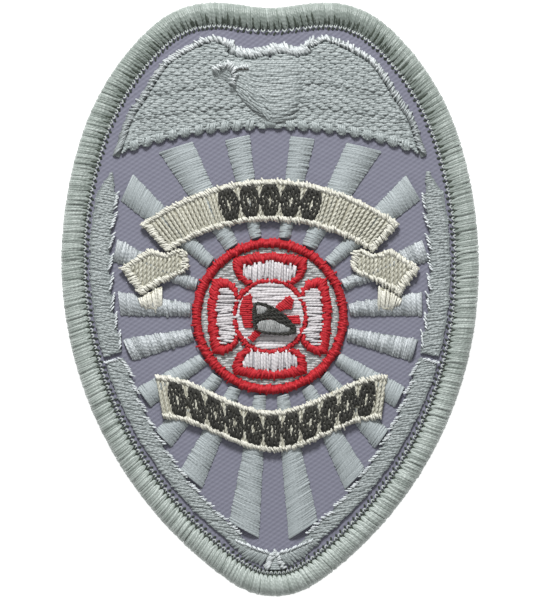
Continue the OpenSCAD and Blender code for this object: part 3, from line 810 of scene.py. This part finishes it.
def feathers(skein, loop, base):
    """A small fan of threads on each feather tip along the bottom of a wing."""
    inner = min(np.flatnonzero(np.abs(loop[:, 0]) < MIDDLE_REACH), key=lambda i: loop[i][1])
    low_points = loop[:, 1] < loop[:, 1].mean()
    notches = sorted({*np.flatnonzero((turns(loop) < NOTCH_TURN) & low_points), inner})
    lean = np.array([0.2, 0]) * np.sign(loop[:, 0].mean())
    for a, b in zip(notches, notches[1:] + notches[:1]):
        if (b - a) % len(loop) not in TIP_POINTS:
            continue
        t = np.linspace(0.28, 0.72, 4) + jitter(0.03, 4)
        step = loop[b] - loop[a]
        edge = loop[a] + step * t[:, None]
        inward = unit(np.array([-step[1], step[0]]))
        bulge = 0.5 * np.sin(np.pi * t)[:, None]
        start = edge + inward * 1.05 - lean
        end = edge - inward * (bulge + 0.2) + lean
        skein.sweep(arches(start, end, base + 0.1, 0.52, 7, 2.2), 0.17, flat=0.6)


def edge_tone(s):
    """Dark for the first three tenths of the line along a wing, and bright for the last three."""
    return np.clip(s * 2.5 - 0.75 + jitter(0.2, len(s)), 0, 1)


def make_wings():
    for side in ("left", "right"):
        node = f"wing_{side}"
        skein, low, _ = on_core(node, 0.12)
        outline = loops(node)[0]
        height = surface(node)
        tatami(skein, [outline], lambda p: height(p) + 0.1, **WING_FILL)
        feathers(skein, outline, low)
        if side == "left":
            start = np.linspace(*MIDDLE_TIP, 5)
            skein.sweep(arches(start, start - [0, TIP_LENGTH], low + 0.1, 0.5, 7, 2.2), 0.19, flat=0.5)
        skein.build(node, [silver, deep], "feathers")
        satin_piece(f"wing_edge_{side}", [edge_thread, deep], drop=0.25, rise=-THREAD, pitch=0.19, slant=0.5,
                    steps=8, sway=0.14, radius=0.12, fuzz=0.15, uneven=0.04, tone=edge_tone)


# Eagle. The breast's stitches are level under the brow and follow the line of its bottom further down
BREAST = np.array([(-9.0, 33.2), (-6.5, 31.6), (-4.2, 28.9), (-2.0, 27.0), (0.5, 26.4), (3.0, 26.7),
                   (5.5, 27.6)])
BROW_TOP = 35.9
# How deep the breast is where its stitches are laid out straight
BREAST_DEPTH = 9
# How deep the breast's stitches go down at its outline, and how far in from there that starts
BODY_FALL = 0.38
BODY_SLOPE = 1.8
# The body under them is this share as wide and high
BODY_SHARE = 0.8
# The brow: a short satin line over the eye, with a dark thread of painted shadow under it
BROW = np.array([(-5.3, 34.1), (-4.3, 34.3), (-3.2, 34.25)])
BROW_WIDTH = 0.42
BROW_SHADOW = np.array([0, -0.14, -0.02])
# Where the crest passes into the line along each wing: upper and lower line of its last stitches
CREST_ENDS = np.array([[[(-6.8, 38.9), (-5.3, 38.4)], [(-6.7, 37.7), (-5.5, 37.1)]],
                       [[(5.0, 38.4), (6.5, 39.0)], [(5.2, 37.1), (6.5, 37.8)]]])
# The line that the throat's slanting stitches lie along, and how many there are
THROAT = np.array([(-4.7, 31.4), (-0.4, 27.7)])
THROAT_STITCHES = 34


def bend(p):
    """Places on the breast, laid out so that its rows are straight."""
    depth = BROW_TOP - np.interp(p[:, 0], *BREAST.T)
    return np.column_stack([p[:, 0], (p[:, 1] - BROW_TOP) / depth * BREAST_DEPTH])


def unbend(p):
    depth = BROW_TOP - np.interp(p[:, 0], *BREAST.T)
    return np.column_stack([p[:, 0], BROW_TOP + p[:, 1] / BREAST_DEPTH * depth])


def make_body():
    node = "eagle_body"
    low, high = heights(node)
    skein = Skein()
    outline = loops(node)[0]
    middle = outline.mean(axis=0)
    skein.pad([middle + (outline - middle) * BODY_SHARE], low, high - 0.3)
    between = np.linspace(0, 1, 6, endpoint=False)[:, None]
    fine = np.vstack([a + (b - a) * between for a, b in zip(outline, np.roll(outline, -1, axis=0))])

    def height(p):
        off = norm(p[:, None] - fine[None]).min(axis=1)
        return high - BODY_FALL * (1 - np.minimum(off / BODY_SLOPE, 1)) ** 2

    tatami(skein, [bend(fine)], height, pitch=0.3, length=4.2, dip=0.09, steps=9, unbend=unbend,
           radius=0.2, stagger=0.382, reach=0.35, fuzz=0.3, fall=0.34, flat=0.3)
    top, bottom = THROAT
    count = THROAT_STITCHES
    middle = top + (bottom - top) * rng.random((count, 1)) + jitter(0.45, count, 2)
    way = unit(unit(bottom - top) + jitter(0.12, count, 2))
    way = way * rng.uniform(0.7, 1.3, (count, 1))
    throat = arches(middle - way, middle + way, height(middle) - 0.18, 0.2, 7, 2.6)
    skein.sweep(throat, 0.14, flat=0.45, ends=0.3)
    skein.build(node, [silver, deep])


def make_head():
    node = "eagle_crest"
    skein, low, high = on_core(node, 0.25)
    rise = high - low - THREAD
    fine = dict(pitch=0.17, uneven=0.015, flat=0.5)
    satin(skein, rails(node), low, rise, slant=0.8, fuzz=0.16, radius=0.15, sway=0.06, **fine)
    for pair in CREST_ENDS:
        satin(skein, pair, low, rise + 0.03, slant=0.3, fuzz=0.14, radius=0.14, sway=0.08, **fine)
    skein.build(node, [bright, deep], "satin")
    node = "eagle_beak"
    low = heights(node)[0]
    skein = Skein()
    satin(skein, rails(node), low, 0.4, pitch=0.17, slant=0.2, fuzz=0.2, reach=0.12, radius=0.11, sway=0.2,
          uneven=0.05)
    brow = (BROW, BROW + [0, BROW_WIDTH])
    satin(skein, brow, low, 0.26, pitch=0.17, slant=0.3, fuzz=0.1, radius=0.11)
    # A dark thread of painted shadow under the brow
    skein.sweep((raised(BROW, low) + BROW_SHADOW)[None], 0.11, slot=1, flat=0.5)
    skein.build(node, [bright, painted_brow_shadow], "satin")


# Laurel
LEAF_FILL = dict(pitch=0.24, length=2.3, dip=0.07, stagger=0.41, radius=0.165, steps=7, reach=0.06,
                 fuzz=0.1, fall=0.26, flat=0.36, sway=0.09)
LEAF_ANGLE = {"left": math.radians(-8), "right": math.radians(8)}
# The stitches that carry the left branch on to the knot, between an upper and a lower line
BRANCH_END = np.array([[(-5.2, -35.7), (-2.2, -37.0), (-0.1, -37.6)],
                       [(-6.0, -36.3), (-3.5, -38.4), (-1.2, -39.7)]])
# Those on the right are their mirror image, moved by this
KNOT_MIRROR = np.array([1.2, 0])
# The knot's rows run from a line inside its left leg to a line inside its right leg
KNOT_FILL = np.array([[(0.6, -38.3), (-0.3, -40.0)], [(0.85, -38.3), (1.75, -40.0)]])
KNOT_ROWS = 7
# A leaf's tip turns left at least this sharply. Its bright threads lie where it faces this place
TIP_TURN = 0.7
LEAF_MIDDLE = np.array([0, 6])
FACING = 0.2
TIP_STITCHES = 8


def leaf_tips(skein, loop, high):
    """Bright threads along the leaf edges that face the middle of the badge, out to each leaf's tip."""
    count = TIP_STITCHES
    for i in np.flatnonzero(turns(loop) > TIP_TURN):
        tip = loop[i]
        beside = loop[i - 1], loop[(i + 1) % len(loop)]
        short, long = sorted(beside, key=lambda point: norm(point - tip))
        inward = unit(LEAF_MIDDLE - tip)
        if np.dot(unit(tip - short), inward) < FACING:
            continue
        way = unit(tip - long)
        along = (0.15 - 0.3 * np.arange(count) + jitter(0.08, count))[:, None]
        spot = tip + way * along + inward * rng.normal(0.02, 0.06, (count, 1))
        reach = unit(way * 0.8 + inward * 0.6) * (0.34 + jitter(0.07, count, 1))
        skein.sweep(arches(spot - reach, spot + reach, high - 0.08, 0.2, 6), 0.105, slot=2, ends=0.4)


def branch_end(skein, side, low, high):
    """The stitches from the lower branch to the knot, with flecks along their upper edge."""
    pair = BRANCH_END if side == "left" else KNOT_MIRROR + BRANCH_END * [-1, 1]
    satin(skein, pair, low, high - low - 0.05, pitch=0.22, slant=0.5, flat=0.4)
    flecks = (pair[0] - [0, 0.2], pair[0] + [0, 0.25])
    satin(skein, flecks, low + 0.1, high - low, slot=2, pitch=0.36, slant=0.6, radius=0.105)


def make_laurel():
    for side in ("left", "right"):
        for half in ("upper", "lower"):
            node = f"laurel_{half}_{side}"
            skein, low, high = on_core(node, 0.1)
            outlines = loops(node)
            tatami(skein, outlines, high + 0.02, angle=LEAF_ANGLE[side], **LEAF_FILL)
            leaf_tips(skein, outlines[0], high)
            if half == "lower":
                branch_end(skein, side, low, high)
            skein.build(node, [laurel_thread, deep, fleck])
    node = "base_knot"
    skein, low, high = on_core(node, 0.12)
    satin(skein, rails(node), low, high - low)
    rows = np.linspace(0, 1, KNOT_ROWS)[:, None]
    left, right = (top + (bottom - top) * rows for top, bottom in KNOT_FILL)
    skein.sweep(arches(left, right, CLOTH_TOP + 0.08, 0.2, 5), 0.16, flat=0.6, slot=2)
    skein.build(node, [bright, deep, silver], "satin")


# Ribbons. The widths of the bright satin lines along their edges and over their ends
EDGE = 0.84
CAP = 1.25
# How far the cords in the middle reach in under the edges, and how far apart they lie
UNDER_EDGE = 0.6
CORD_PITCH = 0.6
# One turn of a cord, and how far its two threads lie off its middle: sideways and up
CORD_TURN = 1.5
CORD_OFFSET = 0.1
CORD_LIFT = 0.08
CORD_STEPS = 19
# The points on a ribbon's rails, and on the rails of its end
RAIL_POINTS = 200
END_POINTS = 40
EDGE_STITCH = dict(pitch=0.23, slant=0.45, radius=0.14, fuzz=0.15, steps=8, flat=0.55, slot=2)
CAP_STITCH = dict(pitch=0.22, slant=0.4, radius=0.15, fuzz=0.15, slot=2)


def inner_rails(pair, share_low, share_high):
    """Two lines between the rails, at shares of the way from the first to the second."""
    a, b = pair
    return a + (b - a) * share_low, a + (b - a) * share_high


def cord_rows(pair):
    """Starts and ends of rows across a ribbon, from rail to rail."""
    count = round(along_rails(pair)[-1] / CORD_PITCH)
    return on_rails(pair, (np.arange(count) + 0.5 + jitter(0.07, count)) / count)


def upright_rows(pair):
    """Starts and ends of rows that all run up the badge."""
    loop = turned(np.vstack([pair[0], pair[1][::-1]]), -UPRIGHT)
    rows = [(left, right, y) for _, y, left, right in runs([loop], CORD_PITCH) if right - left > CORD_PITCH]
    left, right, y = np.array(rows).T
    return [turned(np.stack([x, y], axis=-1), UPRIGHT) for x in (left, right)]


def cords(skein, start, end, base, rise):
    """Cords from starts to ends, each of two threads twisted round each other."""
    t = np.linspace(0, 1, CORD_STEPS)
    way = end - start
    middle = start[:, None] + way[:, None] * t[:, None]
    across = unit(np.stack([-way[:, 1], way[:, 0]], axis=-1))[:, None]
    span = norm(way)[:, None]
    phase = rng.random((len(start), 1)) * 2 * np.pi
    for strand in (0, np.pi):
        twist = t * span / CORD_TURN * 2 * np.pi + phase + strand
        places = middle + across * (np.cos(twist) * CORD_OFFSET)[..., None]
        z = base + rise * (1 - np.abs(2 * t - 1) ** 4) + np.sin(twist) * CORD_LIFT
        skein.sweep(raised(places, z), 0.175)


def ribbon_piece(node, caps, upright=False):
    """A ribbon of cords, satin along its edges and, with caps, over its ends."""
    skein, low, high = on_core(node, 0.1, edge=0.6)
    pair = rails(node, by_corners=upright)
    a, b = on_rails(pair, np.linspace(0, 1, RAIL_POINTS))
    share = EDGE / norm(b - a).mean()
    cut = int(RAIL_POINTS * CAP / along_rails(pair)[-1]) if caps else 0
    inside = slice(cut, RAIL_POINTS - cut)
    middle = inner_rails((a[inside], b[inside]), share * UNDER_EDGE, 1 - share * UNDER_EDGE)
    start, end = upright_rows(middle) if upright else cord_rows(middle)
    cords(skein, start, end, low + 0.2, high - low - 0.2)
    for first, last in ((0, share), (1 - share, 1)):
        satin(skein, inner_rails((a, b), first, last), low + 0.1, high - low + 0.06, **EDGE_STITCH)
    if caps:
        for first, last in ((0, cut), (-1 - cut, -1)):
            ends = [np.linspace(a[i], b[i], END_POINTS) for i in (first, last)]
            satin(skein, ends, low + 0.12, high - low, **CAP_STITCH)
    skein.build(node, [cream, shaded_cream_padding, edge_cream])


def make_ribbons():
    ribbon_piece("ribbon_upper", caps=True)
    ribbon_piece("ribbon_lower", caps=False)
    for side in ("left", "right"):
        ribbon_piece(f"ribbon_fold_{side}", caps=True, upright=True)
        tail = f"ribbon_tail_{side}"
        satin_piece(tail, [edge_cream, shaded_cream_padding], drop=0.12, rise=0.1, pair=rails(tail, by_corners=True),
                    pitch=0.27, reach=0.12, fuzz=0.18, radius=0.14)
    for half in ("upper", "lower"):
        fill_piece(f"ornament_{half}", [black, shaded_black_padding], UPRIGHT, kind="beads", rise=0.1, drop=0.08,
                   pitch=0.27, length=1.3, dip=0.22, radius=0.15, fuzz=0.1, stagger=0.43)


# Medallion
CIRCLE_POINTS = 181
RED_LINE = dict(radius=0.165, flat=0.38, uneven=0.01)


def circle_rails(node):
    """Inner and outer rail of a round satin line."""
    found = loops(node)
    centre = (found[0].max(axis=0) + found[0].min(axis=0)) / 2
    turn = np.linspace(0, 2 * np.pi, CIRCLE_POINTS)
    around = np.stack([np.cos(turn), np.sin(turn)], axis=-1)
    radii = sorted(np.ptp(loop, axis=0).mean() / 2 for loop in found)
    return centre + around * radii[0], centre + around * radii[-1]


def make_medallion():
    fill_piece("medallion_field", [field_thread, shaded_field_padding], 0.0, length=2.4, pitch=0.34)
    for node in ("medallion_ring", "hub_rim"):
        satin_piece(node, [red, shaded_red_padding], drop=0.14, rise=-THREAD / 2, pair=circle_rails(node),
                    pitch=0.22, slant=0.15, reach=0.06, fuzz=0.14, **RED_LINE)
    for arm, angle in (("top", UPRIGHT), ("right", 0.0), ("bottom", UPRIGHT), ("left", 0.0)):
        satin_piece(f"cross_edge_{arm}", [red, shaded_red_padding], drop=0.1, rise=0.05, pitch=0.2, fuzz=0.16,
                    **RED_LINE)
        fill_piece(f"cross_fill_{arm}", [white, shaded_white_padding], angle, rise=0.27, length=9, pitch=0.32,
                   dip=0.26, steps=9, reach=0.3, fuzz=0.36, sway=0.1)
    fill_piece("hub_disc", [white, shaded_white_padding], 0.0, rise=0.12, length=5.3, pitch=0.4, steps=9, dip=0.14,
               sway=0.08, radius=0.22, flat=0.45)
    tool = dict(kind="satin", rise=0.1, pitch=0.3, radius=0.15)
    fill_piece("tool_axe", [red, shaded_red_padding], 0.0, length=2.6, fuzz=0.1, **tool)
    fill_piece("tool_pike", [red, shaded_red_padding], math.radians(-38), length=3, fuzz=0.08, **tool)
    fill_piece("helmet_outline", [black, shaded_black_padding], math.radians(-25), rise=0.12, length=1.2, pitch=0.25,
               fuzz=0.06, radius=0.14)
    for node in ("helmet_crown", "helmet_shield"):
        fill_piece(node, [grey, deep], math.radians(80), rise=0.08, length=4, pitch=0.26, fuzz=0.05,
                   radius=0.14)


# Floor, light and camera. The photo's width and height in pixels, and its pixels in a millimetre
PHOTO_SIZE = (540, 600)
PHOTO_SCALE = 6.73
# The photo's row that the frame's origin lies on
ORIGIN_ROW = 299.5
LENS = 200.0
SENSOR = 36.0
FLOOR_SIZE = 1.2
WORLD_LIGHT = 0.42


def make_stage():
    mesh = bpy.data.meshes.new("pale_floor")
    half = FLOOR_SIZE / 2
    corners = [(-half, -half, 0), (half, -half, 0), (half, half, 0), (-half, half, 0)]
    mesh.from_pydata(corners, [], [(0, 1, 2, 3)])
    mesh.materials.append(floor_material())
    add_object("pale_floor", mesh)


def add_light(name, size, energy, bearing, elevation, distance):
    """A round light that shines on the origin. bearing is the angle from up the badge to the right."""
    light = bpy.data.lights.new(name, "AREA")
    light.shape = "DISK"
    light.size = size
    light.energy = energy
    thing = add_object(name, light)
    a, e = math.radians(bearing), math.radians(elevation)
    thing.location = Vector((math.sin(a) * math.cos(e), math.cos(a) * math.cos(e), math.sin(e))) * distance
    thing.rotation_mode = "QUATERNION"
    thing.rotation_quaternion = (-thing.location).to_track_quat("-Z", "Y")


def make_lights():
    add_light("key", size=0.22, energy=10.6, bearing=-6, elevation=36, distance=0.9)
    world = bpy.data.worlds.new("studio")
    world.use_nodes = True
    background = world.node_tree.nodes["Background"].inputs
    background["Color"].default_value = (1, 1, 1, 1)
    background["Strength"].default_value = WORLD_LIGHT
    bpy.context.scene.world = world
    bpy.context.scene.view_settings.view_transform = "Standard"


def make_camera():
    camera = bpy.data.cameras.new("camera")
    camera.lens = LENS
    camera.sensor_width = SENSOR
    tall = PHOTO_SIZE[1] / PHOTO_SCALE * MM
    middle = (ORIGIN_ROW - PHOTO_SIZE[1] / 2) / PHOTO_SCALE * MM
    thing = add_object("camera", camera)
    thing.location = (0, middle, tall * LENS / SENSOR + CLOTH_TOP * MM)
    bpy.context.scene.camera = thing


make_stage()
make_cloth()
make_border()
make_rays()
make_wings()
make_body()
make_head()
make_laurel()
make_ribbons()
make_medallion()
make_lights()
make_camera()
